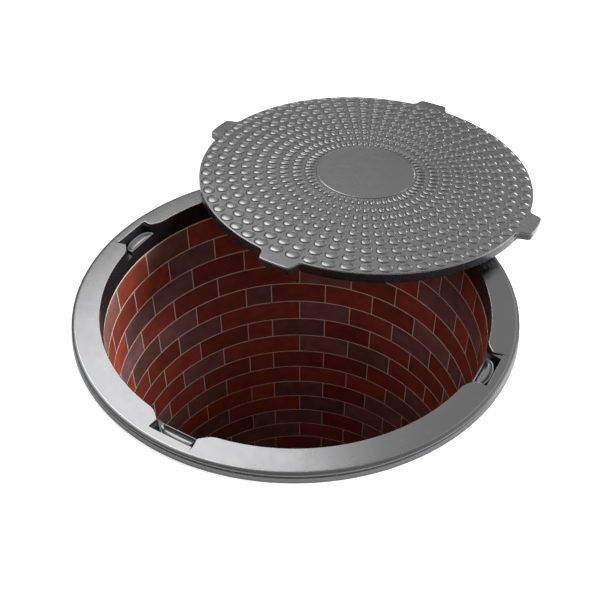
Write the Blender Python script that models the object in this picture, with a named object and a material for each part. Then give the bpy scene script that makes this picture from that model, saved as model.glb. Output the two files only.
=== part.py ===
"""A round street manhole: a loose studded cast-iron cover, its frame with four lug pockets,
and the brick shaft that the frame is bedded on.

The cover has been lifted out of the frame and dragged most of the way off the opening. It lies
across the frame's rim, a little lower at its far side, with its four lugs still lined up with
the four pockets.

Frame of the model: metres, +Z up. The origin is the centre of the base slab's underside. The
lug pockets lie on +X, +Y, -X and -Y.
"""
import math

import bmesh
import bpy
from mathutils import Matrix, Vector

MM = 0.001

# ---- driving dimensions, in metres ----
CLEAR_RADIUS = 300 * MM  # clear opening of 600 mm
GAP = 0.3 * MM  # free space kept between touching pieces

# Shaft
COURSES = 16
COURSE_PITCH = 48.2 * MM
BED_JOINT = 3.2 * MM
WALL_THICKNESS = 102 * MM
BRICK_HEIGHT = COURSE_PITCH - BED_JOINT
SLAB_THICKNESS = 60 * MM
SLAB_OVERHANG = 18 * MM
RING_SEGMENTS = 32

# Frame
FRAME_HEIGHT = 38.8 * MM
INNER_CHAMFER = 1 * MM
FLANGE_UNDERSIDE = -16.5 * MM
# the rim's outer side in millimetres: worn shoulder, edge, shallow groove, flange
OUTER_SIDE = [
    (335.3, 0),
    (338.6, -0.4),
    (341, -1.2),
    (342, -2.6),
    (341.2, -6.8),
    (342.4, -7.5),
    (343.4, -13.6),
    (343.9, -14.6),
    (343.9, -16.5),
]
SKIRT_RADIUS = 330 * MM
FRAME_SEGMENTS = 72
BEDDING_FOOT_RADIUS = 392 * MM
BEDDING_SHOULDER_RADIUS = 358 * MM

# Lug pockets, measured out from the shaft's axis and sideways from the pocket's centre line
LUG_COUNT = 4
POCKET_BACK = 324.3 * MM
POCKET_FLOOR = -20 * MM
POCKET_OUTLINE = [(290, 46), (299.6, 44), (302, 39.5), (305.5, 35.6), (310, 32.8), (324.3, 26)]
CORNER_INNER_HALF_WIDTH = 25 * MM
CORNER_NECK_HALF_WIDTH = 32 * MM
CORNER_BACK_HALF_WIDTH = 34.4 * MM
CORNER_FRONT = 311 * MM
CORNER_SHALLOW = -0.8 * MM
CORNER_DEEP = -8 * MM

# Lug seats, the dished pads on the pocket floors
SEAT_OUTLINE = [(301.6, 27), (303.2, 30), (306.6, 31), (314.5, 27.1), (318.5, 22.5)]
SEAT_TOP = -14.3 * MM
SEAT_LIP = 2.6 * MM
SEAT_DISH = 3.2 * MM

# Cover, with its plate's upper plane as zero height
COVER_RADIUS = 298.5 * MM
PLATE_THICKNESS = 9 * MM
RIM_DEPTH = 18 * MM
RIM_WALL = 10 * MM
EDGE_CHAMFER = 1.6 * MM
RAISED_EDGE_SLOPE = 1 * MM  # how far the sides of the tread and the disc lean in
STUD_HEIGHT = 2.2 * MM
TREAD_INNER_RADIUS = 92 * MM
TREAD_OUTER_RADIUS = 296.4 * MM
DISC_RADIUS = 89.5 * MM
DISC_HEIGHT = 1 * MM
RIB_DEPTH = 29 * MM
RIB_RING_RADIUS = 274 * MM
HUB_RADIUS = 62 * MM
RIB_WIDTH = 8 * MM
RIB_COUNT = 8
RIB_OVERLAP = 2 * MM  # how far a rib runs into the plate, the hub and the rib ring
LUG_THICKNESS = 14 * MM
LUG_TOP = -0.3 * MM
LUG_OUTLINE = [(290, 35.5), (298, 35), (303, 31.9), (315, 28.4), (318.4, 26.2), (320.2, 22)]
COVER_SEGMENTS = 72

# Where the cover lies, with bearings counted anticlockwise from +X
COVER_OFFSET = 325.7 * MM  # from the shaft's axis to the cover's centre
COVER_BEARING = math.radians(97.5)
COVER_TILT = math.radians(2.09)
DOWNHILL_BEARING = math.radians(73)
COVER_LIFT = 30.95 * MM  # its centre above the frame's top

CUTTER_OVERSHOOT = 5 * MM  # how far a cutting solid stands above the metal

# ---- derived ----
BRICK_TOP = -FRAME_HEIGHT - BED_JOINT
FRAME_TOP = SLAB_THICKNESS + COURSES * COURSE_PITCH - BRICK_TOP
WALL_RADIUS = CLEAR_RADIUS + WALL_THICKNESS

# name: (colour, roughness, metallic)
FINISHES = {
    "cast_iron_cover": ((0.17, 0.17, 0.172), 0.42, 1.0),
    "cast_iron_frame": ((0.36, 0.36, 0.365), 0.38, 1.0),
    "machined_seat": ((0.52, 0.53, 0.53), 0.3, 1.0),
    "engineering_brick": ((0.19, 0.03, 0.02), 0.75, 0.0),
    "bedding_mortar": ((0.48, 0.40, 0.35), 0.9, 0.0),
    "slab_concrete": ((0.42, 0.41, 0.39), 0.9, 0.0),
}


def clear_scene():
    for old in list(bpy.data.objects):
        bpy.data.objects.remove(old, do_unlink=True)


def finish(name):
    """The named finish as a material, made once."""
    material = bpy.data.materials.get(name)
    if material is None:
        colour, roughness, metallic = FINISHES[name]
        material = bpy.data.materials.new(name)
        material.use_nodes = True
        shader = material.node_tree.nodes["Principled BSDF"]
        shader.inputs["Base Color"].default_value = (*colour, 1)
        shader.inputs["Roughness"].default_value = roughness
        shader.inputs["Metallic"].default_value = metallic
    return material


def add_object(name, bm, finish_name=None):
    """Turns a bmesh into a linked object with its faces pointing out."""
    bmesh.ops.recalc_face_normals(bm, faces=bm.faces)
    mesh = bpy.data.meshes.new(name)
    bm.to_mesh(mesh)
    bm.free()
    mesh.shade_smooth()
    mesh.set_sharp_from_angle(angle=math.radians(30))
    piece = bpy.data.objects.new(name, mesh)
    bpy.context.collection.objects.link(piece)
    if finish_name:
        mesh.materials.append(finish(finish_name))
    return piece


def turned(profile, segments):
    """A bmesh spun about Z from a profile of (radius, height) points.

    A profile that starts and ends on the axis closes there; any other profile is a closed loop.
    """
    bm = bmesh.new()
    points = [bm.verts.new((radius, 0, height)) for radius, height in profile]
    edges = [bm.edges.new(pair) for pair in zip(points, points[1:])]
    if profile[0][0] > 0:
        edges.append(bm.edges.new((points[-1], points[0])))
    bmesh.ops.spin(
        bm,
        geom=points + edges,
        cent=(0, 0, 0),
        axis=(0, 0, 1),
        angle=math.tau,
        steps=segments,
        use_merge=True,
    )
    bmesh.ops.remove_doubles(bm, verts=bm.verts, dist=0.001 * MM)
    return bm


def extruded(bm, outline, bottom, top, turn):
    """Adds a prism over a plan outline, turned about Z, to a bmesh."""
    spin = Matrix.Rotation(turn, 4, "Z")
    floor = [bm.verts.new(spin @ Vector((x, y, bottom))) for x, y in outline]
    base = bm.faces.new(floor)
    raised = bmesh.ops.extrude_face_region(bm, geom=[base])["geom"]
    lid = [item for item in raised if isinstance(item, bmesh.types.BMVert)]
    bmesh.ops.translate(bm, verts=lid, vec=(0, 0, top - bottom))


def mirrored_outline(half_mm):
    """A symmetric plan outline, in metres, from one half given in millimetres."""
    upper = [(x * MM, y * MM) for x, y in half_mm]
    lower = [(x, -y) for x, y in reversed(upper)]
    return upper + lower


def lug_bearings():
    return [math.tau * index / LUG_COUNT for index in range(LUG_COUNT)]


def as_cutter(name, bm):
    cutter = add_object(name, bm)
    cutter.hide_render = True
    cutter.display_type = "WIRE"
    return cutter


def add_boolean(piece, operand, operation):
    modifier = piece.modifiers.new(f"{operation.lower()}_{operand.name}", "BOOLEAN")
    modifier.operation = operation
    modifier.solver = "EXACT"
    modifier.object = operand


def make_ring(name, inner, outer, bottom, top, finish_name):
    """A plain square-edged ring between two heights above the base."""
    profile = [(inner, bottom), (inner, top), (outer, top), (outer, bottom)]
    return add_object(name, turned(profile, RING_SEGMENTS), finish_name)


def make_shaft():
    """The concrete base slab and the brick courses, numbered from the top down."""
    slab = [
        (0, 0),
        (WALL_RADIUS + SLAB_OVERHANG, 0),
        (WALL_RADIUS + SLAB_OVERHANG, SLAB_THICKNESS),
        (0, SLAB_THICKNESS),
    ]
    add_object("base_slab", turned(slab, RING_SEGMENTS), "slab_concrete")
    for number in range(1, COURSES + 1):
        top = FRAME_TOP + BRICK_TOP - (number - 1) * COURSE_PITCH
        bottom = top - BRICK_HEIGHT
        make_ring(
            f"brick_course_{number:02d}", CLEAR_RADIUS, WALL_RADIUS, bottom, top, "engineering_brick"
        )
        bed_top = bottom - GAP
        bed_bottom = bottom - BED_JOINT + GAP
        make_ring(
            f"mortar_bed_{number:02d}", CLEAR_RADIUS, WALL_RADIUS, bed_bottom, bed_top, "bedding_mortar"
        )


def make_bedding():
    """The mortar bed under the frame's skirt, and the haunch that holds its flange."""
    make_ring(
        "frame_bed",
        CLEAR_RADIUS,
        SKIRT_RADIUS - 2 * GAP,
        FRAME_TOP + BRICK_TOP + GAP,
        FRAME_TOP - FRAME_HEIGHT - GAP,
        "bedding_mortar",
    )
    inner = SKIRT_RADIUS + GAP
    foot = FRAME_TOP + BRICK_TOP + GAP
    shoulder = FRAME_TOP + FLANGE_UNDERSIDE - GAP
    profile = [
        (inner, foot),
        (inner, shoulder),
        (BEDDING_SHOULDER_RADIUS, shoulder),
        (BEDDING_FOOT_RADIUS, foot),
    ]
    add_object("bedding_mortar", turned(profile, FRAME_SEGMENTS), "bedding_mortar")


def frame_profile():
    """The frame's section: skirt, flat rim with a worn outer shoulder, and flange."""
    return [
        (CLEAR_RADIUS, -FRAME_HEIGHT),
        (CLEAR_RADIUS, -INNER_CHAMFER),
        (CLEAR_RADIUS + INNER_CHAMFER, 0),
        *((radius * MM, height * MM) for radius, height in OUTER_SIDE),
        (SKIRT_RADIUS, FLANGE_UNDERSIDE),
        (SKIRT_RADIUS, -FRAME_HEIGHT),
    ]


def corner_recess(bm, side, turn):
    """A shallow recess at one back corner of a pocket, its floor falling into the pocket."""
    spin = Matrix.Rotation(turn, 4, "Z")
    plan = [
        (CORNER_FRONT, CORNER_INNER_HALF_WIDTH, CORNER_DEEP),
        (CORNER_FRONT, CORNER_NECK_HALF_WIDTH, CORNER_SHALLOW),
        (POCKET_BACK, CORNER_BACK_HALF_WIDTH, CORNER_SHALLOW),
        (POCKET_BACK, CORNER_INNER_HALF_WIDTH, CORNER_DEEP),
    ]
    points = []
    for x, y, depth in plan:
        points.append(bm.verts.new(spin @ Vector((x, side * y, depth))))
        points.append(bm.verts.new(spin @ Vector((x, side * y, CUTTER_OVERSHOOT))))
    bmesh.ops.convex_hull(bm, input=points)


def make_frame():
    frame = add_object("frame_ring", turned(frame_profile(), FRAME_SEGMENTS), "cast_iron_frame")
    pockets = bmesh.new()
    corners = bmesh.new()
    for turn in lug_bearings():
        extruded(pockets, mirrored_outline(POCKET_OUTLINE), POCKET_FLOOR, CUTTER_OVERSHOOT, turn)
        for side in (-1, 1):
            corner_recess(corners, side, turn)
    for cutter in (as_cutter("pocket_cutter", pockets), as_cutter("corner_cutter", corners)):
        cutter.location.z = FRAME_TOP
        add_boolean(frame, cutter, "DIFFERENCE")
    frame.location.z = FRAME_TOP


def make_lug_seats():
    """One dished pad on each pocket's floor, for a lug to sit on."""
    for index, turn in enumerate(lug_bearings(), start=1):
        bm = bmesh.new()
        extruded(bm, mirrored_outline(SEAT_OUTLINE), POCKET_FLOOR + GAP, SEAT_TOP, 0)
        bmesh.ops.recalc_face_normals(bm, faces=bm.faces)
        top = max(bm.faces, key=lambda face: face.calc_center_median().z)
        bmesh.ops.inset_region(bm, faces=[top], thickness=SEAT_LIP, depth=0)
        bmesh.ops.inset_region(bm, faces=[top], thickness=SEAT_LIP / 2, depth=0)
        bmesh.ops.translate(bm, verts=top.verts, vec=(0, 0, -SEAT_DISH))
        seat = add_object(f"lug_seat_{index}", bm, "machined_seat")
        seat.location.z = FRAME_TOP
        seat.rotation_euler.z = turn


def cover_profile():
    """The cover's section: raised disc, tread, rim, rib ring and hub."""
    slope = RAISED_EDGE_SLOPE
    rim_inner = COVER_RADIUS - RIM_WALL
    ring_outer = RIB_RING_RADIUS + RIB_WIDTH / 2
    ring_inner = RIB_RING_RADIUS - RIB_WIDTH / 2
    hub_outer = HUB_RADIUS + RIB_WIDTH / 2
    hub_inner = HUB_RADIUS - RIB_WIDTH / 2
    return [
        (0, DISC_HEIGHT),
        (DISC_RADIUS - slope, DISC_HEIGHT),
        (DISC_RADIUS, 0),
        (TREAD_INNER_RADIUS, 0),
        (TREAD_INNER_RADIUS + slope, STUD_HEIGHT),
        (TREAD_OUTER_RADIUS - slope, STUD_HEIGHT),
        (TREAD_OUTER_RADIUS, 0),
        (COVER_RADIUS - EDGE_CHAMFER, 0),
        (COVER_RADIUS, -EDGE_CHAMFER),
        (COVER_RADIUS, -RIM_DEPTH),
        (rim_inner, -RIM_DEPTH),
        (rim_inner, -PLATE_THICKNESS),
        (ring_outer, -PLATE_THICKNESS),
        (ring_outer, -RIB_DEPTH),
        (ring_inner, -RIB_DEPTH),
        (ring_inner, -PLATE_THICKNESS),
        (hub_outer, -PLATE_THICKNESS),
        (hub_outer, -RIB_DEPTH),
        (hub_inner, -RIB_DEPTH),
        (hub_inner, -PLATE_THICKNESS),
        (0, -PLATE_THICKNESS),
    ]


def cover_placement():
    """The cover's place and lie, and the direction its plane falls in."""
    place = Vector(
        (
            COVER_OFFSET * math.cos(COVER_BEARING),
            COVER_OFFSET * math.sin(COVER_BEARING),
            FRAME_TOP + COVER_LIFT,
        )
    )
    level_line = Vector((-math.sin(DOWNHILL_BEARING), math.cos(DOWNHILL_BEARING), 0))
    return place, Matrix.Rotation(COVER_TILT, 4, level_line)


def make_cover():
    """The cover, its lugs and its ribs, as one casting whose origin is on its sliding line."""
    cover = add_object("cover", turned(cover_profile(), COVER_SEGMENTS), "cast_iron_cover")
    lugs = bmesh.new()
    for turn in lug_bearings():
        extruded(lugs, mirrored_outline(LUG_OUTLINE), -LUG_THICKNESS, LUG_TOP, turn)
    ribs = bmesh.new()
    rib_outline = [
        (HUB_RADIUS - RIB_OVERLAP, -RIB_WIDTH / 2),
        (RIB_RING_RADIUS + RIB_OVERLAP, -RIB_WIDTH / 2),
        (RIB_RING_RADIUS + RIB_OVERLAP, RIB_WIDTH / 2),
        (HUB_RADIUS - RIB_OVERLAP, RIB_WIDTH / 2),
    ]
    rib_bottom = -RIB_DEPTH + RIB_OVERLAP
    rib_top = -PLATE_THICKNESS + RIB_OVERLAP
    for index in range(RIB_COUNT):
        turn = math.tau * (index + 0.5) / RIB_COUNT
        extruded(ribs, rib_outline, rib_bottom, rib_top, turn)
    place, lie = cover_placement()
    for addition in (as_cutter("cover_lugs", lugs), as_cutter("cover_ribs", ribs)):
        addition.matrix_world = Matrix.Translation(place) @ lie
        add_boolean(cover, addition, "UNION")
    cover.matrix_world = Matrix.Translation(place) @ lie


def main():
    clear_scene()
    make_shaft()
    make_bedding()
    make_frame()
    make_lug_seats()
    make_cover()


main()
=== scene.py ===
import math
import random

import bmesh
import bpy
from mathutils import Matrix, Vector, noise


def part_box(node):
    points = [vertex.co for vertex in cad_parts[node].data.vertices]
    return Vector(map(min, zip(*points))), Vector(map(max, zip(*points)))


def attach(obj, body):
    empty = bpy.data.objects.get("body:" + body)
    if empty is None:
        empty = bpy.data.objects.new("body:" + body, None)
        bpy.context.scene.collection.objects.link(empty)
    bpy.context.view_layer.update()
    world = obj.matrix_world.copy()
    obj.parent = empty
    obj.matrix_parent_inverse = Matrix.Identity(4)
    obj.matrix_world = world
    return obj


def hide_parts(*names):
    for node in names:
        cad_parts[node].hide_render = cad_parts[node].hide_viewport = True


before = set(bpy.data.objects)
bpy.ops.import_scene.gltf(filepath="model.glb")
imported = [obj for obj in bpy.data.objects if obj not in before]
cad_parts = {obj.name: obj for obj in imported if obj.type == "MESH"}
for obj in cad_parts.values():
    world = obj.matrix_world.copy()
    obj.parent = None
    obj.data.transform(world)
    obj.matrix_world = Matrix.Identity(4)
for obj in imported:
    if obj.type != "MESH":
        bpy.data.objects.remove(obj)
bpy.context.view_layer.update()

MM = 0.001

# ---- places and sizes read from the frame ----
FRAME_LOW, FRAME_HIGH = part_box("frame_ring")
FRAME_TOP = FRAME_HIGH[2]
FLANGE_RADIUS = (FRAME_HIGH[0] - FRAME_LOW[0]) / 2
SLAB_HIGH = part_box("base_slab")[1]
COURSE_NAMES = sorted(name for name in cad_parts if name.startswith("brick_course_"))
BED_NAMES = sorted(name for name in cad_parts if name.startswith("mortar_bed_"))
SEAT_NAMES = sorted(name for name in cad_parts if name.startswith("lug_seat_"))
WALL_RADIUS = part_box(COURSE_NAMES[0])[1][0]

# ---- the cover ----
CLEAR_RADIUS = 300 * MM  # the opening's
ROUND = 360  # points round a full turn

COVER_RADIUS = 298.5 * MM
# where it lies: distance and bearing from the shaft's axis, tilt, and height over the frame's top
COVER_OFFSET = 325.7 * MM
COVER_BEARING = math.radians(97.5)
COVER_TILT = math.radians(2.09)
DOWNHILL_BEARING = math.radians(73)
COVER_LIFT = 30.95 * MM
EDGE_ROUNDING = 1.6 * MM
LUG_ROUNDING = 2.4 * MM
FOOT_ROUNDING = 1.4 * MM
SUPPORT_WIDTH = 0.2 * MM  # a flat ring beside a rounding, to keep its shading off the rest
PAINTED_SHADE_START = 0.5 * MM  # how far below the rounding the cover's wall is fully black with painted shade
RIM_DEPTH = 18 * MM
LUG_THICKNESS = 14 * MM
LUG_START = 1.5 * MM  # how far outside the plate's circle an outline point counts as a lug's
LUG_BLEND = 6 * MM  # how far outside it the lug's own rounding is whole
LUG_SOLE_RADIUS = 296.8 * MM
RIM_FOOT_RADIUS = 295.8 * MM
RIM_INNER = 288.5 * MM
PLATE_EDGE = RIM_INNER - 3 * MM
PLATE_UNDERSIDE = -9 * MM
RIB_DEPTH = 29 * MM
RIB_WIDTH = 8 * MM
RIB_RING_RADIUS = 274 * MM
HUB_RADIUS = 62 * MM
RIB_COUNT = 8
RIB_ROUNDING = 1 * MM
RIB_FILLET = 1.5 * MM

STUD_COLUMNS = 60
STUD_ROWS = 9
STUD_SIDE = 5  # points along each side of a stud's cell
ROW_PITCH = 23 * MM
FIRST_ROW = 101.1 * MM
STUD_HEIGHT = 2.2 * MM
STUD_LENGTH = 19.3 * MM
STUD_SPREAD = 0.39  # half a stud's width as a share of its column
STUD_CROWN = 2.5  # how flat a stud's top is
STUD_TURN = math.radians(-0.15)
DISC_RADIUS = 89.3 * MM
DISC_HEIGHT = 1.2 * MM
DISC_STEP = 2.2 * MM  # width of the rounded step round the disc
DISC_RINGS = (86.9, 80, 60, 35, 12)  # radii in mm

LUG_COUNT = 4
LUG_TIP_RADIUS = 320.2 * MM
LUG_TIP_HALF = 28 * MM
LUG_ROOT_HALF = 35 * MM
LUG_CORNER_BEND = 6 * MM
LUG_ROOT_BEND = 7 * MM

# ---- the frame and the seats in its pockets, heights from the frame's top ----
# one side of a pocket's mouth, from its back to the opening: distance out and aside in mm
POCKET_SIDE = ((324.3, 34.4), (309.5, 32.2), (298.6, 44.5), (296.3, 50))
POCKET_BENDS = (3 * MM, 6 * MM)  # at the two middle points
# the narrower outline deep in a pocket
POCKET_BACK = 324.3 * MM
POCKET_BACK_HALF = 30 * MM
POCKET_NECK = 309.5 * MM
POCKET_NECK_HALF = 32.4 * MM
POCKET_FLOOR = -20 * MM
POCKET_ROUNDING = 1.3 * MM
RIM_FLAT_RADIUS = 335 * MM
# the frame's shoulder, edge, groove, flange and skirt: radius and height in mm, wear with a painted
# highlight line at the shoulder's edge, and painted shade (black)
FRAME_PROFILE = (
    (335.3, -0.01, 0.0, 0.0),
    (335.9, -0.04, 0.1, 0.1),
    (336.8, -0.12, 0.6, 0.0),
    (337.8, -0.26, 0.1, 0.35),
    (338.8, -0.46, 0.0, 0.4),
    (339.8, -0.73, 0.0, 0.4),
    (340.7, -1.06, 0.0, 0.4),
    (341.4, -1.48, 0.1, 0.35),
    (341.8, -2.0, 0.1, 0.35),
    (342, -2.7, 0.1, 0.35),
    (341.9, -3.6, 0.1, 0.35),
    (341.3, -5.9, 0.1, 0.4),
    (341, -6.5, 0.0, 0.5),
    (341, -6.9, 0.0, 0.5),
    (341.4, -7.2, 0.1, 0.3),
    (342.1, -7.5, 0.2, 0.25),
    (342.5, -8.1, 0.0, 0.35),
    (343.3, -13.2, 0.0, 0.4),
    (343.7, -14, 0.1, 0.3),
    (343.9, -14.7, 0.0, 0.5),
    (343.9, -16.2, 0.0, 0.6),
    (343.6, -16.5, 0.0, 0.6),
    (330.2, -16.5, 0.0, 0.6),
    (330, -16.7, 0.0, 1.0),
    (330, -38.4, 0.0, 1.0),
    (329.6, -38.8, 0.0, 1.0),
    (300.4, -38.8, 0.0, 1.0),
    (300, -38.4, 0.0, 1.0),
)

SEAT_CREST = -14.2 * MM
SEAT_LIP = 0.6 * MM  # how far below the crest the trough begins
TROUGH_DEPTH = 3.8 * MM
TROUGH_INWARD = 0.28  # where the trough begins, from the outline (0) to its middle line (1)
SEAT_FRONT = 301.2 * MM
SEAT_BOW = 22 * MM
BOW_POWER = 0.8  # below 1, the bow is fuller than half an ellipse
SEAT_HALF_LENGTH = 31 * MM
SEAT_SIDE_POINTS = 28
TROUGH_HALF_LENGTH = 21 * MM
TROUGH_SHARE = 0.72  # a middle line point's distance aside, as a share of its outline point's
TROUGH_MIDDLE = SEAT_FRONT + 8 * MM

# ---- the brick shaft: joint bearings in degrees over a quarter turn, tones and mortar ----
LONG_BOND = (-0.15, 18.85, 39.85, 49.85, 70.85)
OFFSET_BOND = (8.85, 28.85, 60.85, 80.35)
JOINT = 2.3 * MM
HALF_JOINT_ANGLE = JOINT / 2 / CLEAR_RADIUS
BRICK_BEVEL = 0.35 * MM
BEVEL_HOLD = 2.2  # where the loops that hold a bevel's shape lie, in bevels from the corner
BRICK_GROWTH = 0.35 * MM  # how far a brick's faces stand into the bed joints
BRICK_SHIFT = 0.15 * MM  # how far a brick stands out of or into the wall at most
# red clay, bright red clay, purple-grey and brown-grey over-fired bricks
TONES = ((0.37, 0.073, 0.045), (0.44, 0.088, 0.050), (0.29, 0.140, 0.138), (0.28, 0.130, 0.096))
TONE_SHARES = (44, 12, 36, 8)
TONE_LIGHT = (0.74, 1.14)
MORTAR_RADIUS = CLEAR_RADIUS + 0.35 * MM
MORTAR_HOLD = 0.8 * MM  # how far a mortar joint's outer edge stays inside its CAD node's
MORTAR_BEVEL = 0.15 * MM
UPRIGHT_OVERLAP = 0.2 * MM
BED_OVERLAP = 0.3 * MM
FRAME_BED_OVERLAP = 0.25 * MM
SLAB_CHAMFER = 4 * MM
LUMP_SCALE = 40
LUMP_HEIGHT = 1.2 * MM

# ---- the studio ----
CAMERA_BEARING = math.radians(30)
CAMERA_DIP = math.radians(41.5)
CAMERA_PLACE = (6.6 * MM, -957.1 * MM, 834.4 * MM)
CAMERA_LENS = 48.98
CAMERA_SENSOR = 36
FLOOR_LEVEL = -15 * MM
FLOOR_RADIUS = 9
FLOOR_POINTS = 180
# name, place as the camera sees it, size in metres, power in watts, and if the metal reflects it
LIGHTS = (
    ("left_softbox", (-0.88, 1.27, 2.13), (1.92, 1.64), 33, True),
    ("back_right_strip", (1.6, 2.5, 0.35), (0.6, 0.6), 9, True),
    ("right_softbox", (2.2, 0.6, 1.1), (0.9, 0.8), 9, True),
    ("back_strip", (0.1, 3.0, 0.3), (0.9, 0.4), 4, True),
    ("right_fill", (2.0, -0.3, 1.15), (1.2, 1.0), 62, False),
    ("left_fill", (-1.9, -0.6, 1.1), (1.2, 1.0), 5.5, False),
)

# ---- colours ----
# the black of the painted shade on walls, stud feet and flange
PAINTED_SHADE_COLOUR = (0.016, 0.016, 0.018)
CLAY_DUST = (0.30, 0.14, 0.10)
FLOOR_WHITE = (0.93, 0.93, 0.93, 1)
WHITE = (1, 1, 1, 1)

rng = random.Random(7)


class Shell:
    """Points and faces of one mesh, with wear and painted highlight (bright metal) and painted shade
    (black) by point.
    """

    def __init__(self):
        self.points = []
        self.faces = []
        self.wear_and_highlight = []
        self.painted_shade_share = []

    def point(self, place, wear_and_highlight=0.0, painted_shade_share=0.0):
        self.points.append(tuple(place))
        self.wear_and_highlight.append(wear_and_highlight)
        self.painted_shade_share.append(painted_shade_share)
        return len(self.points) - 1

    def loop(self, places, wear_and_highlight=0.0, painted_shade_share=0.0):
        return [self.point(place, wear_and_highlight, painted_shade_share) for place in places]

    def band(self, first, second):
        """Quads between two closed loops of the same length."""
        count = len(first)
        for i in range(count):
            j = (i + 1) % count
            self.face(first[i], first[j], second[j], second[i])

    def face(self, *corners):
        kept = [c for i, c in enumerate(corners) if c != corners[i - 1]]
        if len(kept) > 2:
            self.faces.append(tuple(kept))

    def fan(self, ring, centre):
        for i, corner in enumerate(ring):
            self.face(corner, ring[(i + 1) % len(ring)], centre)

    def stitch(self, first, second):
        """Triangles between two closed loops that run the same way round the axis."""

        def turns(ring):
            angles = [math.atan2(self.points[i][1], self.points[i][0]) % math.tau for i in ring]
            start = min(range(len(ring)), key=lambda k: angles[k])
            order = ring[start:] + ring[:start]
            turned = angles[start:] + angles[:start]
            return order + [order[0]], turned + [turned[0] + math.tau]

        ring_a, angle_a = turns(first)
        ring_b, angle_b = turns(second)
        i = j = 0
        while i < len(first) or j < len(second):
            if j == len(second) or (i < len(first) and angle_a[i + 1] <= angle_b[j + 1]):
                self.face(ring_a[i], ring_a[i + 1], ring_b[j])
                i += 1
            else:
                self.face(ring_a[i], ring_b[j + 1], ring_b[j])
                j += 1

    def build(self, name, material, sharp=35, matrix=None):
        """The mesh as a piece, smooth except at edges that bend by more than sharp degrees."""
        mesh = bpy.data.meshes.new(name)
        mesh.from_pydata(self.points, [], self.faces)
        for label, values in (("wear_and_highlight", self.wear_and_highlight), ("painted_shade_black", self.painted_shade_share)):
            layer = mesh.attributes.new(label, "FLOAT", "POINT")
            layer.data.foreach_set("value", values)
        bm = bmesh.new()
        bm.from_mesh(mesh)
        bmesh.ops.recalc_face_normals(bm, faces=bm.faces)
        bm.to_mesh(mesh)
        bm.free()
        if matrix is not None:
            mesh.transform(matrix)
        mesh.shade_smooth()
        mesh.set_sharp_from_angle(angle=math.radians(sharp))
        mesh.materials.append(material)
        piece = bpy.data.objects.new(name, mesh)
        bpy.context.collection.objects.link(piece)
        return piece


def polar(radius, angle, height=0.0):
    return (radius * math.cos(angle), radius * math.sin(angle), height)


def circle(radius, height, count=ROUND):
    return [polar(radius, math.tau * i / count, height) for i in range(count)]


def lathe(name, profile, material):
    """A ring turned about the shaft's axis from a closed profile of (radius, height)."""
    shell = Shell()
    loops = [shell.loop(circle(radius, height)) for radius, height in profile]
    for first, second in zip(loops, loops[1:] + loops[:1]):
        shell.band(first, second)
    return shell.build(name, material)


# ---- outlines in plan ----
def rounded(points, radii):
    """A polyline with its corners replaced by smooth bends of about the given lengths."""
    out = [points[0]]
    for before, corner, after, length in zip(points, points[1:], points[2:], radii):
        start = corner + (before - corner).normalized() * length
        end = corner + (after - corner).normalized() * length
        for step in range(9):
            t = step / 8
            out.append(start * (1 - t) ** 2 + corner * 2 * t * (1 - t) + end * t * t)
    out.append(points[-1])
    return out


def lobed_outline(base_radius, half_lobe, tip):
    """A closed outline: a circle with the same lobe on each lug bearing.

    half_lobe is the lobe's side as (distance out, distance aside) vectors from the tip to the
    circle, and tip is how the lobe's end runs, "arc" or "chord".
    """
    side = [Vector((p.x, p.y)) for p in half_lobe]
    end = side[0]
    end_angle = math.atan2(end.y, end.x)
    middle = []
    steps = 6
    for step in range(1, steps * 2):
        angle = end_angle * (1 - step / steps)
        radius = end.length if tip == "arc" else end.x / math.cos(angle)
        middle.append(Vector((radius * math.cos(angle), radius * math.sin(angle))))
    lobe = list(reversed(side)) + middle + [Vector((p.x, -p.y)) for p in side]
    lobe.reverse()
    root_angle = math.atan2(side[-1].y, side[-1].x)
    quarter = math.tau / LUG_COUNT
    outline = []
    for k in range(LUG_COUNT):
        turn = Matrix.Rotation(k * quarter, 2)
        outline += [turn @ p for p in lobe]
        first = math.degrees(k * quarter + root_angle)
        last = math.degrees((k + 1) * quarter - root_angle)
        for degree in range(math.floor(first) + 1, math.ceil(last)):
            angle = math.radians(degree)
            outline.append(Vector((base_radius * math.cos(angle), base_radius * math.sin(angle))))
    return outline


def outline_normals(outline):
    """Unit vectors in plan that point away from the enclosed area."""
    normals = []
    for i, here in enumerate(outline):
        along = outline[(i + 1) % len(outline)] - outline[i - 1]
        normals.append(Vector((along.y, -along.x)).normalized())
    return normals


def shifted(outline, normals, distance, height):
    """The outline moved along its normals, at one height."""
    return [(*(p + n * distance), height) for p, n in zip(outline, normals)]


# ---- materials ----
def new_material(name):
    material = bpy.data.materials.new(name)
    material.use_nodes = True
    nodes = material.node_tree.nodes
    return material, nodes, material.node_tree.links, nodes["Principled BSDF"]


def add_noise(nodes, links, scale, detail=4.0, roughness=0.55):
    coordinates = nodes.new("ShaderNodeTexCoord")
    texture = nodes.new("ShaderNodeTexNoise")
    texture.inputs["Scale"].default_value = scale
    texture.inputs["Detail"].default_value = detail
    texture.inputs["Roughness"].default_value = roughness
    links.new(coordinates.outputs["Object"], texture.inputs["Vector"])
    return texture.outputs["Fac"]


def add_range(nodes, links, value, low, high, from_low=0.0, from_high=1.0):
    """A value's range from_low to from_high spread over low to high, and held there beyond it."""
    spread = nodes.new("ShaderNodeMapRange")
    spread.inputs["From Min"].default_value = from_low
    spread.inputs["From Max"].default_value = from_high
    spread.inputs["To Min"].default_value = low
    spread.inputs["To Max"].default_value = high
    links.new(value, spread.inputs["Value"])
    return spread.outputs["Result"]


def add_mix(nodes, links, factor, first, second):
    """A colour between first and second, which are either colours or sockets."""
    mix = nodes.new("ShaderNodeMix")
    mix.data_type = "RGBA"
    links.new(factor, mix.inputs["Factor"])
    for socket, value in ((mix.inputs[6], first), (mix.inputs[7], second)):
        if isinstance(value, tuple):
            socket.default_value = (*value, 1)
        else:
            links.new(value, socket)
    return mix.outputs[2]


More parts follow.
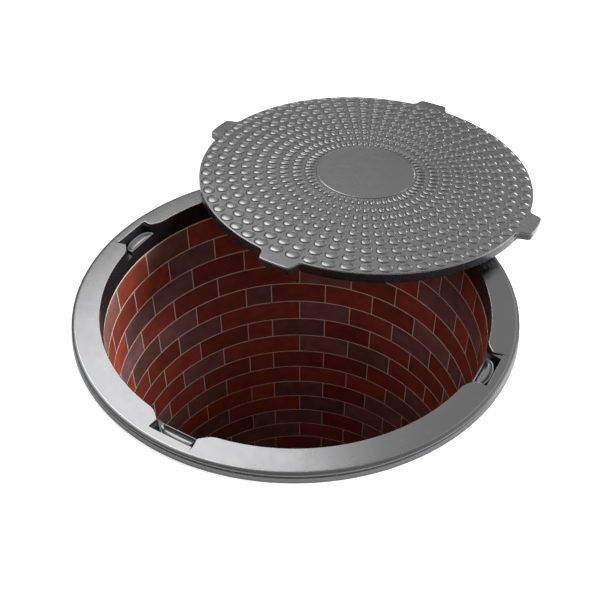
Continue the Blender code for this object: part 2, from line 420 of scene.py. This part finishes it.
def add_bump(nodes, links, height, distance, under=None):
    bump = nodes.new("ShaderNodeBump")
    bump.inputs["Strength"].default_value = 1.0
    bump.inputs["Distance"].default_value = distance
    links.new(height, bump.inputs["Height"])
    if under is not None:
        links.new(under, bump.inputs["Normal"])
    return bump.outputs["Normal"]


def attribute(nodes, name, output="Fac"):
    node = nodes.new("ShaderNodeAttribute")
    node.attribute_name = name
    return node.outputs[output]


def iron_material(name, dark, light, wear_and_highlight_colour, roughness, grain):
    """Satin iron: fine casting grain, cloudy tone, brighter metal where it is worn and where a
    painted highlight lies, and black where painted shade lies.
    """
    material, nodes, links, shader = new_material(name)
    painted_shade_share = attribute(nodes, "painted_shade_black")
    links.new(add_range(nodes, links, painted_shade_share, 1.0, 0.0), shader.inputs["Metallic"])
    cloud = add_noise(nodes, links, 22, detail=6)
    speck = add_noise(nodes, links, 900, detail=2)
    base = add_mix(nodes, links, cloud, dark, light)
    toned = add_mix(nodes, links, add_range(nodes, links, speck, 0.0, 0.35, 0.35, 0.7), base, light)
    # brighter metal for wear and painted highlight, black for painted shade
    worn_and_highlit = add_mix(nodes, links, attribute(nodes, "wear_and_highlight"), toned, wear_and_highlight_colour)
    links.new(add_mix(nodes, links, painted_shade_share, worn_and_highlit, PAINTED_SHADE_COLOUR), shader.inputs["Base Color"])
    blotch = add_noise(nodes, links, 60, detail=5)
    rough = add_range(nodes, links, blotch, roughness - 0.02, roughness + 0.03, 0.3, 0.7)
    links.new(rough, shader.inputs["Roughness"])
    fine = add_noise(nodes, links, 1400, detail=3)
    coarse = add_noise(nodes, links, 260, detail=4)
    first = add_bump(nodes, links, fine, grain * 0.5)
    links.new(add_bump(nodes, links, coarse, grain, under=first), shader.inputs["Normal"])
    return material


def brick_material():
    """Fired clay whose tone comes from each brick's own colour, with fire marks and pores."""
    material, nodes, links, shader = new_material("fired_brick")
    tone = attribute(nodes, "tone", "Color")
    cloud = add_noise(nodes, links, 45, detail=6, roughness=0.6)
    shade = add_range(nodes, links, cloud, 0.72, 1.25, 0.3, 0.7)
    scaled = nodes.new("ShaderNodeVectorMath")
    scaled.operation = "SCALE"
    links.new(tone, scaled.inputs[0])
    links.new(shade, scaled.inputs["Scale"])
    speck = add_noise(nodes, links, 700, detail=3, roughness=0.7)
    dust = add_range(nodes, links, speck, 0.0, 0.3, 0.55, 0.75)
    dusted = add_mix(nodes, links, dust, scaled.outputs["Vector"], CLAY_DUST)
    links.new(dusted, shader.inputs["Base Color"])
    links.new(add_range(nodes, links, cloud, 0.5, 0.72, 0.3, 0.7), shader.inputs["Roughness"])
    pores = add_noise(nodes, links, 420, detail=5, roughness=0.7)
    waves = add_noise(nodes, links, 38, detail=3)
    first = add_bump(nodes, links, pores, 0.35 * MM)
    links.new(add_bump(nodes, links, waves, 1.2 * MM, under=first), shader.inputs["Normal"])
    return material


def mineral_material(name, dark, light, scale, grit):
    """Mortar or concrete: sandy, matt and mottled."""
    material, nodes, links, shader = new_material(name)
    cloud = add_noise(nodes, links, scale, detail=7, roughness=0.65)
    base = add_mix(nodes, links, cloud, dark, light)
    sand = add_noise(nodes, links, 1600, detail=2)
    speckled = add_mix(nodes, links, add_range(nodes, links, sand, 0.0, 0.4, 0.5, 0.8), base, dark)
    links.new(speckled, shader.inputs["Base Color"])
    shader.inputs["Roughness"].default_value = 0.9
    grains = add_noise(nodes, links, 900, detail=4, roughness=0.7)
    links.new(add_bump(nodes, links, grains, grit), shader.inputs["Normal"])
    return material


IRON_COVER = iron_material(
    "cast_iron_cover",
    dark=(0.232, 0.232, 0.235),
    light=(0.258, 0.258, 0.261),
    wear_and_highlight_colour=(0.27, 0.27, 0.272),
    roughness=0.27,
    grain=0.004 * MM,
)
IRON_FRAME = iron_material(
    "cast_iron_frame",
    dark=(0.178, 0.178, 0.181),
    light=(0.195, 0.195, 0.198),
    # bright metal for wear and for the painted highlight lines along the frame's edges
    wear_and_highlight_colour=(0.42, 0.42, 0.422),
    roughness=0.25,
    grain=0.012 * MM,
)
IRON_SEAT = iron_material(
    "cast_iron_seat",
    dark=(0.15, 0.15, 0.152),
    light=(0.17, 0.17, 0.172),
    wear_and_highlight_colour=(0.30, 0.30, 0.302),
    roughness=0.3,
    grain=0.004 * MM,
)
BRICK = brick_material()
MORTAR = mineral_material("lime_mortar", (0.90, 0.78, 0.68), (0.96, 0.88, 0.80), 60, 0.15 * MM)
CONCRETE = mineral_material("slab_concrete", (0.26, 0.25, 0.24), (0.45, 0.44, 0.42), 14, 0.4 * MM)


# ---- cover ----
def cover_matrix():
    """Where the cover lies, half off its frame and tilted, in the photograph."""
    place = Vector(polar(COVER_OFFSET, COVER_BEARING, FRAME_TOP + COVER_LIFT))
    level_line = Vector((-math.sin(DOWNHILL_BEARING), math.cos(DOWNHILL_BEARING), 0))
    return Matrix.Translation(place) @ Matrix.Rotation(COVER_TILT, 4, level_line)


def cover_outline():
    """The plate's circle with four tapering lugs, their corners and roots rounded."""
    tip_angle = math.asin(LUG_TIP_HALF / LUG_TIP_RADIUS)
    corner = Vector(polar(LUG_TIP_RADIUS, tip_angle)[:2])
    root_angle = math.asin(LUG_ROOT_HALF / COVER_RADIUS)
    root = Vector(polar(COVER_RADIUS, root_angle)[:2])
    # two more points, on the arcs that the corner and the root run into
    beyond = Vector(polar(COVER_RADIUS, root_angle + 0.035)[:2])
    before = Vector(polar(LUG_TIP_RADIUS, tip_angle - 0.025)[:2])
    half = rounded([before, corner, root, beyond], (LUG_CORNER_BEND, LUG_ROOT_BEND))
    return lobed_outline(COVER_RADIUS, half, "arc")


def add_studs(shell):
    """The tread: rows of raised ovals on spokes. Returns its inner and outer edge loops."""
    edge = {}
    inner = FIRST_ROW - ROW_PITCH / 2

    def edge_point(i, j):
        key = (i % (STUD_COLUMNS * STUD_SIDE), j)
        if key not in edge:
            angle = math.tau * (key[0] / STUD_SIDE) / STUD_COLUMNS + STUD_TURN
            edge[key] = shell.point(polar(inner + ROW_PITCH * j / STUD_SIDE, angle))
        return edge[key]

    walk = [(k, 0) for k in range(STUD_SIDE)]
    walk += [(STUD_SIDE, k) for k in range(STUD_SIDE)]
    walk += [(STUD_SIDE - k, STUD_SIDE) for k in range(STUD_SIDE)]
    walk += [(0, STUD_SIDE - k) for k in range(STUD_SIDE)]
    # share of the stud's half size, and how black the metal is there: painted shade round its foot
    rings = ((1.12, 0), (1.04, 0.9), (0.97, 0.9), (0.9, 0.3), (0.8, 0), (0.62, 0), (0.3, 0))
    for row in range(STUD_ROWS):
        radius = FIRST_ROW + row * ROW_PITCH
        half_wide = STUD_SPREAD * math.tau / STUD_COLUMNS
        half_long = STUD_LENGTH / 2 * (0.96 + 0.04 * row / (STUD_ROWS - 1))
        for column in range(STUD_COLUMNS):
            middle = math.tau * (column + 0.5) / STUD_COLUMNS + STUD_TURN
            border = [edge_point(column * STUD_SIDE + a, row * STUD_SIDE + b) for a, b in walk]
            tall = STUD_HEIGHT * rng.uniform(0.93, 1.0)
            last = border
            for rho, painted_shade_share in rings:
                ring = []
                height = tall * math.sqrt(max(0, 1 - rho**STUD_CROWN))
                for a, b in walk:
                    bearing = math.atan2(b - STUD_SIDE / 2, a - STUD_SIDE / 2)
                    angle = middle + rho * half_wide * math.cos(bearing)
                    out = radius + rho * half_long * math.sin(bearing)
                    ring.append(shell.point(polar(out, angle, height), max(0, 1 - rho), painted_shade_share))
                shell.band(last, ring)
                last = ring
            shell.fan(last, shell.point(polar(radius, middle, tall), 1.0))
    total = STUD_COLUMNS * STUD_SIDE
    inside = [edge_point(i, 0) for i in range(total)]
    outside = [edge_point(i, STUD_ROWS * STUD_SIDE) for i in range(total)]
    return inside, outside


def add_disc(shell, last):
    """The plain disc in the middle, with a small rounded step round it."""
    for t in range(7):
        angle = math.pi / 2 * t / 6
        radius = DISC_RADIUS - DISC_STEP * (1 - math.cos(angle))
        ring = shell.loop(circle(radius, DISC_HEIGHT * math.sin(angle)), 0.35)
        shell.band(last, ring)
        last = ring
    for radius in DISC_RINGS:
        ring = shell.loop(circle(radius * MM, DISC_HEIGHT))
        shell.band(last, ring)
        last = ring
    shell.fan(last, shell.point((0, 0, DISC_HEIGHT)))


def add_rim(shell, outside, outline, depth):
    """Rim and lugs: rounded upper edge, wall, rounded foot. Returns the lowest loop."""
    normals = outline_normals(outline)
    curve = []
    for p in outline:
        on_lug = min(1, max(0, (p.length - COVER_RADIUS) / LUG_BLEND))
        curve.append(EDGE_ROUNDING + (LUG_ROUNDING - EDGE_ROUNDING) * on_lug)
    last = None
    for t in range(-1, 7):
        angle = math.pi / 2 * max(t, 0) / 6
        hold = SUPPORT_WIDTH if t < 0 else 0
        places = []
        for p, n, round_off in zip(outline, normals, curve):
            flat = p - n * (round_off * (1 - math.sin(angle)) + hold)
            places.append((flat.x, flat.y, -round_off * (1 - math.cos(angle))))
        # the rounded edge is brighter as a painted highlight; its last ring and the wall below are
        # black as painted shade
        ring = shell.loop(places, 0.0 if t < 0 else 0.8, 0.5 if t == 6 else 0.0)
        if last is None:
            shell.stitch(outside, ring)
        else:
            shell.band(last, ring)
        last = ring
    places = [(p.x, p.y, -round_off - PAINTED_SHADE_START) for p, round_off in zip(outline, curve)]
    ring = shell.loop(places, 0.0, 1.0)
    shell.band(last, ring)
    last = ring
    for t in range(5):
        angle = math.pi / 2 * t / 4
        places = []
        for p, n, deep in zip(outline, normals, depth):
            flat = p - n * FOOT_ROUNDING * (1 - math.cos(angle))
            places.append((flat.x, flat.y, -deep + FOOT_ROUNDING * (1 - math.sin(angle))))
        ring = shell.loop(places, 0.0, 1.0)
        shell.band(last, ring)
        last = ring
    return last


def add_underside(shell, last, outline, depth):
    """Lug soles, rim foot, plate, rib ring and hub."""
    angles = [math.atan2(p.y, p.x) for p in outline]
    soles = [-deep for deep in depth]
    foot = [-RIM_DEPTH] * len(depth)
    for radius, levels in ((LUG_SOLE_RADIUS, soles), (RIM_FOOT_RADIUS, foot), (RIM_INNER, foot)):
        ring = shell.loop([polar(radius, angle, level) for angle, level in zip(angles, levels)])
        shell.band(last, ring)
        last = ring
    half = RIB_WIDTH / 2
    under = [(PLATE_EDGE, PLATE_UNDERSIDE)]
    for radius in (RIB_RING_RADIUS, HUB_RADIUS):
        under += [
            (radius + half + RIB_FILLET, PLATE_UNDERSIDE),
            (radius + half, PLATE_UNDERSIDE - RIB_FILLET),
            (radius + half, -RIB_DEPTH + RIB_ROUNDING),
            (radius + half - RIB_ROUNDING, -RIB_DEPTH),
            (radius - half + RIB_ROUNDING, -RIB_DEPTH),
            (radius - half, -RIB_DEPTH + RIB_ROUNDING),
            (radius - half, PLATE_UNDERSIDE - RIB_FILLET),
            (radius - half - RIB_FILLET, PLATE_UNDERSIDE),
        ]
    for radius, height in under:
        ring = shell.loop([polar(radius, angle, height) for angle in angles])
        shell.band(last, ring)
        last = ring
    shell.fan(last, shell.point((0, 0, PLATE_UNDERSIDE)))


def make_cover():
    shell = Shell()
    inside, outside = add_studs(shell)
    add_disc(shell, inside)
    outline = cover_outline()
    depth = []
    for p in outline:
        depth.append(LUG_THICKNESS if p.length > COVER_RADIUS + LUG_START else RIM_DEPTH)
    foot = add_rim(shell, outside, outline, depth)
    add_underside(shell, foot, outline, depth)

    plate = shell.build("cover_casting", IRON_COVER, sharp=38, matrix=cover_matrix())
    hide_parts("cover")
    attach(plate, "cover")

    ribs = Shell()
    for k in range(RIB_COUNT):
        add_rib(ribs, math.tau * (k + 0.5) / RIB_COUNT)
    web = ribs.build("cover_ribs", IRON_COVER, matrix=cover_matrix())
    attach(web, "cover")


def add_rib(shell, bearing):
    """One radial rib under the plate, its lower corners rounded."""
    half = RIB_WIDTH / 2
    top = PLATE_UNDERSIDE + 1 * MM
    section = [
        (-half, top),
        (-half, -RIB_DEPTH + RIB_ROUNDING),
        (-half + RIB_ROUNDING, -RIB_DEPTH),
        (half - RIB_ROUNDING, -RIB_DEPTH),
        (half, -RIB_DEPTH + RIB_ROUNDING),
        (half, top),
    ]
    turn = Matrix.Rotation(bearing, 3, "Z")
    ends = []
    for out in (HUB_RADIUS, RIB_RING_RADIUS):
        ends.append(shell.loop([turn @ Vector((out, aside, z)) for aside, z in section]))
    shell.band(ends[0], ends[1])
    shell.faces.append(tuple(ends[0]))
    shell.faces.append(tuple(reversed(ends[1])))


# ---- frame ----
def pocket_outlines():
    """The frame's inner edge in plan, at its top and deep in the pockets.

    Both have the same points round the turn, so that they can be joined loop to loop.
    """
    side = rounded([Vector(place) * MM for place in POCKET_SIDE], POCKET_BENDS)
    top = lobed_outline(CLEAR_RADIUS, side, "chord")
    # no point stands inside the opening's own circle
    fitted = []
    for p in top:
        if p.length < CLEAR_RADIUS:
            p = p * (CLEAR_RADIUS / p.length)
        fitted.append(p)
    deep = []
    for p in fitted:
        bearing = math.atan2(p.y, p.x)
        near = round(bearing / (math.tau / LUG_COUNT)) * math.tau / LUG_COUNT
        aside = math.tan(bearing - near)
        # the deep side wall runs straight from the pocket's neck to its narrower back
        slope = (POCKET_NECK_HALF - POCKET_BACK_HALF) / (POCKET_NECK - POCKET_BACK)
        limit = (POCKET_BACK_HALF - slope * POCKET_BACK) / (abs(aside) - slope)
        along = p.length * math.cos(bearing - near)
        if along > POCKET_NECK and limit < along:
            p = p * (limit / along)
        deep.append(p)
    return fitted, deep


def make_frame():
    """The frame ring: worn shoulder with a painted highlight line and painted shade, flange, skirt,
    and pockets with shallow back corners.
    """
    top, deep = pocket_outlines()
    normals = outline_normals(top)
    shell = Shell()

    outer = [shell.loop(circle(RIM_FLAT_RADIUS, 0))]
    for radius, height, wear_and_highlight, painted_shade_share in FRAME_PROFILE:
        outer.append(shell.loop(circle(radius * MM, height * MM), wear_and_highlight, painted_shade_share))
    for first, second in zip(outer, outer[1:]):
        shell.band(first, second)

    ring = shell.loop(shifted(top, normals, POCKET_ROUNDING + SUPPORT_WIDTH, 0))
    shell.stitch(ring, outer[0])
    last = ring
    # the pockets' rounded edges carry a painted highlight
    for t in range(5):
        angle = math.pi / 2 * t / 4
        distance = POCKET_ROUNDING * (1 - math.sin(angle))
        height = -POCKET_ROUNDING * (1 - math.cos(angle))
        ring = shell.loop(shifted(top, normals, distance, height), 0.5)
        shell.band(last, ring)
        last = ring
    # the wall is clean above the first level and black with painted shade below the second, and
    # between the second and the third it runs in to the deep outline
    walls = (
        [(p.x, p.y, -1.9 * MM) for p in top],
        [(p.x, p.y, -2.0 * MM) for p in top],
        [(p.x, p.y, -4.6 * MM) for p in deep],
        [(p.x, p.y, -4.9 * MM) for p in deep],
        [(p.x, p.y, POCKET_FLOOR) for p in deep],
    )
    for level, places in enumerate(walls):
        ring = shell.loop(places, 0.2, 0.0 if level == 0 else 1.0)
        shell.band(last, ring)
        last = ring
    # pocket floors: only where the outline stands back from the opening
    front = []
    for i, p in zip(last, deep):
        if p.length > CLEAR_RADIUS + 0.01 * MM:
            front.append(shell.point((*(p * (CLEAR_RADIUS / p.length)), POCKET_FLOOR), 0.0, 1.0))
        else:
            front.append(i)
    shell.band(last, front)
    shell.stitch(front, outer[-1])

    place = Matrix.Translation((0, 0, FRAME_TOP))
    ring = shell.build("frame_casting", IRON_FRAME, sharp=28, matrix=place)
    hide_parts("frame_ring")
    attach(ring, "shaft")


def make_seats():
    """The pad in each pocket: a bow-shaped trough inside a rounded lip, straight at the front."""
    levels = [
        (0, POCKET_FLOOR + 0.3 * MM),
        (0, SEAT_CREST - 2.2 * MM),
        (0.03, SEAT_CREST - 1.2 * MM),
        (0.09, SEAT_CREST - 0.4 * MM),
        (0.16, SEAT_CREST),
        (0.22, SEAT_CREST - 0.1 * MM),
        (TROUGH_INWARD, SEAT_CREST - SEAT_LIP),
    ]
    for step in range(1, 9):
        inward = step / 8
        depth = SEAT_LIP + TROUGH_DEPTH * (1 - (1 - inward) ** 2)
        levels.append((TROUGH_INWARD + (1 - TROUGH_INWARD) * inward, SEAT_CREST - depth))
    for index, name in enumerate(SEAT_NAMES):
        shell = Shell()
        loops = []
        for inward, height in levels:
            # the lip's crest gets wear and a painted highlight, the rest less
            wear_and_highlight = 1.0 if height > SEAT_CREST - 0.7 * MM else 0.4
            loops.append(shell.loop(seat_loop(inward, height), wear_and_highlight))
        for first, second in zip(loops, loops[1:]):
            shell.band(first, second)
        shell.faces.append(tuple(loops[0]))
        shell.faces.append(tuple(reversed(loops[-1])))
        turn = Matrix.Rotation(math.tau * index / LUG_COUNT, 4, "Z")
        place = Matrix.Translation((0, 0, FRAME_TOP)) @ turn
        seat = shell.build(f"seat_pad_{index + 1}", IRON_SEAT, sharp=50, matrix=place)
        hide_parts(name)
        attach(seat, "shaft")


def seat_loop(inward, height):
    """The pad's bow-shaped outline drawn in towards the middle line of its trough."""
    outline = []
    for step in range(SEAT_SIDE_POINTS):
        y = SEAT_HALF_LENGTH * (1 - 2 * step / SEAT_SIDE_POINTS)
        outline.append((SEAT_FRONT, y))
    for step in range(SEAT_SIDE_POINTS):
        turn = math.pi * (step / SEAT_SIDE_POINTS - 0.5)
        out = SEAT_FRONT + SEAT_BOW * math.cos(turn) ** BOW_POWER
        outline.append((out, SEAT_HALF_LENGTH * math.sin(turn)))
    places = []
    for x, y in outline:
        middle_y = max(-TROUGH_HALF_LENGTH, min(TROUGH_HALF_LENGTH, y * TROUGH_SHARE))
        places.append((x + (TROUGH_MIDDLE - x) * inward, y + (middle_y - y) * inward, height))
    return places


# ---- shaft ----
def add_block(shell, start, end, low, high, inner, outer, steps, bevel):
    """A curved block between two bearings, with bevelled edges. Returns its point count."""
    first_point = len(shell.points)
    hold = bevel * BEVEL_HOLD

    def section(shrink):
        lo, hi, near, far = low + shrink, high - shrink, inner + shrink, outer - shrink
        return [
            (near, lo + bevel),
            (near, lo + hold),
            (near, hi - hold),
            (near, hi - bevel),
            (near + bevel, hi),
            (near + hold, hi),
            (far - hold, hi),
            (far - bevel, hi),
            (far, hi - bevel),
            (far, hi - hold),
            (far, lo + hold),
            (far, lo + bevel),
            (far - bevel, lo),
            (far - hold, lo),
            (near + hold, lo),
            (near + bevel, lo),
        ]

    turn = bevel / inner
    stations = [(start, bevel), (start + turn, 0), (start + BEVEL_HOLD * turn, 0)]
    for k in range(1, steps):
        stations.append((start + (end - start) * k / steps, 0))
    stations += [(end - BEVEL_HOLD * turn, 0), (end - turn, 0), (end, bevel)]
    loops = []
    for angle, shrink in stations:
        loops.append(shell.loop([polar(r, angle, z) for r, z in section(shrink)]))
    for first, second in zip(loops, loops[1:]):
        shell.band(first, second)
    shell.faces.append(tuple(loops[0]))
    shell.faces.append(tuple(reversed(loops[-1])))
    return len(shell.points) - first_point


def course_joints(number):
    """The bearings of one course's upright joints, in degrees, in order."""
    bond = LONG_BOND if number % 2 == 0 else OFFSET_BOND
    return [90 * k + angle for k in range(4) for angle in bond]


def make_courses():
    """Each course brick by brick, and the mortar in its upright joints."""
    for number, name in enumerate(COURSE_NAMES):
        low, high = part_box(name)
        low[2] -= BRICK_GROWTH
        high[2] += BRICK_GROWTH
        joints = course_joints(number)
        bricks = Shell()
        tones = []
        mortar = Shell()
        for here, after in zip(joints, joints[1:] + [joints[0] + 360]):
            brick_start = math.radians(here) + HALF_JOINT_ANGLE
            brick_end = math.radians(after) - HALF_JOINT_ANGLE
            tone = rng.choices(TONES, TONE_SHARES)[0]
            light = rng.uniform(*TONE_LIGHT)
            face = CLEAR_RADIUS + rng.uniform(-BRICK_SHIFT, BRICK_SHIFT)
            steps = max(4, round((after - here) / 2))
            count = add_block(
                bricks, brick_start, brick_end, low[2], high[2], face, WALL_RADIUS, steps, BRICK_BEVEL
            )
            tones += [tuple(c * light for c in tone)] * count
            # the upright joint just before this brick
            add_block(
                mortar,
                start=math.radians(here) - HALF_JOINT_ANGLE,
                end=brick_start,
                low=low[2] - UPRIGHT_OVERLAP,
                high=high[2] + UPRIGHT_OVERLAP,
                inner=MORTAR_RADIUS,
                outer=WALL_RADIUS - MORTAR_HOLD,
                steps=1,
                bevel=MORTAR_BEVEL,
            )
        course = bricks.build(f"bricks_{number + 1:02d}", BRICK, sharp=50)
        colour = course.data.attributes.new("tone", "FLOAT_COLOR", "POINT")
        for index, value in enumerate(tones):
            colour.data[index].color = (*value, 1)
        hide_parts(name)
        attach(course, "shaft")
        uprights = mortar.build(f"upright_joints_{number + 1:02d}", MORTAR)
        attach(uprights, "shaft")


def make_beds():
    """Each bed joint, struck almost flush with the bricks, and the one under the frame."""
    for number, name in enumerate(["frame_bed"] + BED_NAMES):
        low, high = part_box(name)
        bottom = low[2] - BED_OVERLAP
        top = high[2] + (FRAME_BED_OVERLAP if number == 0 else BED_OVERLAP)
        outer = high[0] - MORTAR_HOLD
        profile = [(MORTAR_RADIUS, bottom), (MORTAR_RADIUS, top), (outer, top), (outer, bottom)]
        bed = lathe(f"bed_joint_{number:02d}", profile, MORTAR)
        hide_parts(name)
        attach(bed, "shaft")


def make_slab():
    """The concrete slab under the wall, its edges chamfered."""
    radius = SLAB_HIGH[0]
    top = SLAB_HIGH[2]
    shell = Shell()
    profile = [
        (radius - SLAB_CHAMFER, 0),
        (radius, SLAB_CHAMFER),
        (radius, top - SLAB_CHAMFER),
        (radius - 0.3 * SLAB_CHAMFER, top - 0.3 * SLAB_CHAMFER),
        (radius - SLAB_CHAMFER, top),
        (radius - 2 * SLAB_CHAMFER, top),
    ]
    loops = [shell.loop(circle(r, z)) for r, z in profile]
    for first, second in zip(loops, loops[1:]):
        shell.band(first, second)
    shell.fan(loops[-1], shell.point((0, 0, top)))
    shell.fan(loops[0], shell.point((0, 0, 0)))
    slab = shell.build("slab", CONCRETE)
    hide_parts("base_slab")
    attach(slab, "shaft")


def make_haunch():
    """The sloping mortar round the frame's foot, lumpy where it is trowelled down."""
    low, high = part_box("bedding_mortar")
    shell = Shell()
    loops = []
    for radius, height, rough in (
        (330.4, low[2], 0),
        (330.4, high[2], 0),
        (352, high[2], 0),
        (358, high[2] - 0.6 * MM, 0.5),
        (368, high[2] - 5 * MM, 1),
        (378, high[2] - 11 * MM, 1),
        (386, high[2] - 16 * MM, 0.6),
        (391.5, low[2], 0),
    ):
        places = []
        for x, y, z in circle(radius * MM, height):
            lump = noise.noise(Vector((x, y, z)) * LUMP_SCALE) * LUMP_HEIGHT * rough
            places.append((x, y, z + lump - LUMP_HEIGHT / 2 * rough))
        loops.append(shell.loop(places))
    for first, second in zip(loops, loops[1:] + loops[:1]):
        shell.band(first, second)
    haunch = shell.build("frame_bedding", MORTAR, sharp=60)
    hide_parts("bedding_mortar")
    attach(haunch, "shaft")


# ---- studio ----
def make_floor():
    """A white studio floor that the flange stands through, open over the shaft."""
    height = FRAME_TOP + FLOOR_LEVEL
    shell = Shell()
    near = shell.loop(circle(FLANGE_RADIUS - 4 * MM, height, FLOOR_POINTS))
    far = shell.loop(circle(FLOOR_RADIUS, height, FLOOR_POINTS))
    shell.band(near, far)
    material, _, _, shader = new_material("studio_white")
    shader.inputs["Base Color"].default_value = FLOOR_WHITE
    shader.inputs["Roughness"].default_value = 0.9
    shader.inputs["Specular IOR Level"].default_value = 0.1
    shader.inputs["Emission Color"].default_value = WHITE
    shader.inputs["Emission Strength"].default_value = 0.5
    floor = shell.build("studio_floor", material)


def add_light(name, place, aim, size, energy, reflected):
    data = bpy.data.lights.new(name, "AREA")
    data.shape = "RECTANGLE"
    data.size, data.size_y = size
    data.energy = energy
    light = bpy.data.objects.new(name, data)
    light.location = place
    light.rotation_euler = (Vector(aim) - Vector(place)).to_track_quat("-Z", "Y").to_euler()
    light.visible_glossy = reflected
    bpy.context.collection.objects.link(light)


def from_camera(right, away, up):
    """A point given by how far it is right of, beyond and above the frame, as the camera sees it."""
    turn = Matrix.Rotation(CAMERA_BEARING, 3, "Z")
    return turn @ Vector((right, away, 0)) + Vector((0, 0, FRAME_TOP + up))


def make_camera():
    data = bpy.data.cameras.new("camera")
    data.sensor_width = CAMERA_SENSOR
    data.lens = CAMERA_LENS
    camera = bpy.data.objects.new("camera", data)
    camera.location = from_camera(*CAMERA_PLACE)
    camera.rotation_euler = (math.pi / 2 - CAMERA_DIP, 0, CAMERA_BEARING)
    bpy.context.collection.objects.link(camera)
    bpy.context.scene.camera = camera


def along_direction(nodes, links, direction, axis):
    """How far a world direction points along an axis, from -1 to 1."""
    product = nodes.new("ShaderNodeVectorMath")
    product.operation = "DOT_PRODUCT"
    links.new(direction, product.inputs[0])
    product.inputs[1].default_value = axis
    return product.outputs["Value"]


def make_world():
    """A pale wall beyond the object and a darker room behind the viewer.

    Both are dimmer low down, overhead and to the left.
    """
    world = bpy.data.worlds.new("studio")
    bpy.context.scene.world = world
    world.use_nodes = True
    nodes = world.node_tree.nodes
    links = world.node_tree.links
    background = nodes["Background"]
    background.inputs["Color"].default_value = WHITE
    direction = nodes.new("ShaderNodeTexCoord").outputs["Generated"]
    origin = from_camera(0, 0, 0)
    beyond = along_direction(nodes, links, direction, from_camera(0, 1, 0) - origin)
    aside = along_direction(nodes, links, direction, from_camera(1, 0, 0) - origin)
    height = nodes.new("ShaderNodeSeparateXYZ")
    links.new(direction, height.inputs["Vector"])
    wall = add_range(nodes, links, beyond, 0.46, 0.79, -0.2, 0.35)
    low = add_range(nodes, links, height.outputs["Z"], 0.25, 0.97, 0.38, 0.55)
    high = add_range(nodes, links, height.outputs["Z"], 1.0, 0.45, 0.80, 0.95)
    strength = add_range(nodes, links, aside, 0.72, 1.0, -0.25, 0.0)
    for share in (wall, low, high):
        product = nodes.new("ShaderNodeMath")
        product.operation = "MULTIPLY"
        links.new(strength, product.inputs[0])
        links.new(share, product.inputs[1])
        strength = product.outputs["Value"]
    links.new(strength, background.inputs["Strength"])


def make_studio():
    make_floor()
    make_world()
    aim = from_camera(0, 0, 0)
    for name, place, size, energy, reflected in LIGHTS:
        add_light(name, from_camera(*place), aim, size, energy, reflected)
    bpy.context.scene.view_settings.view_transform = "Standard"


make_cover()
make_frame()
make_seats()
make_courses()
make_beds()
make_slab()
make_haunch()
make_camera()
make_studio()
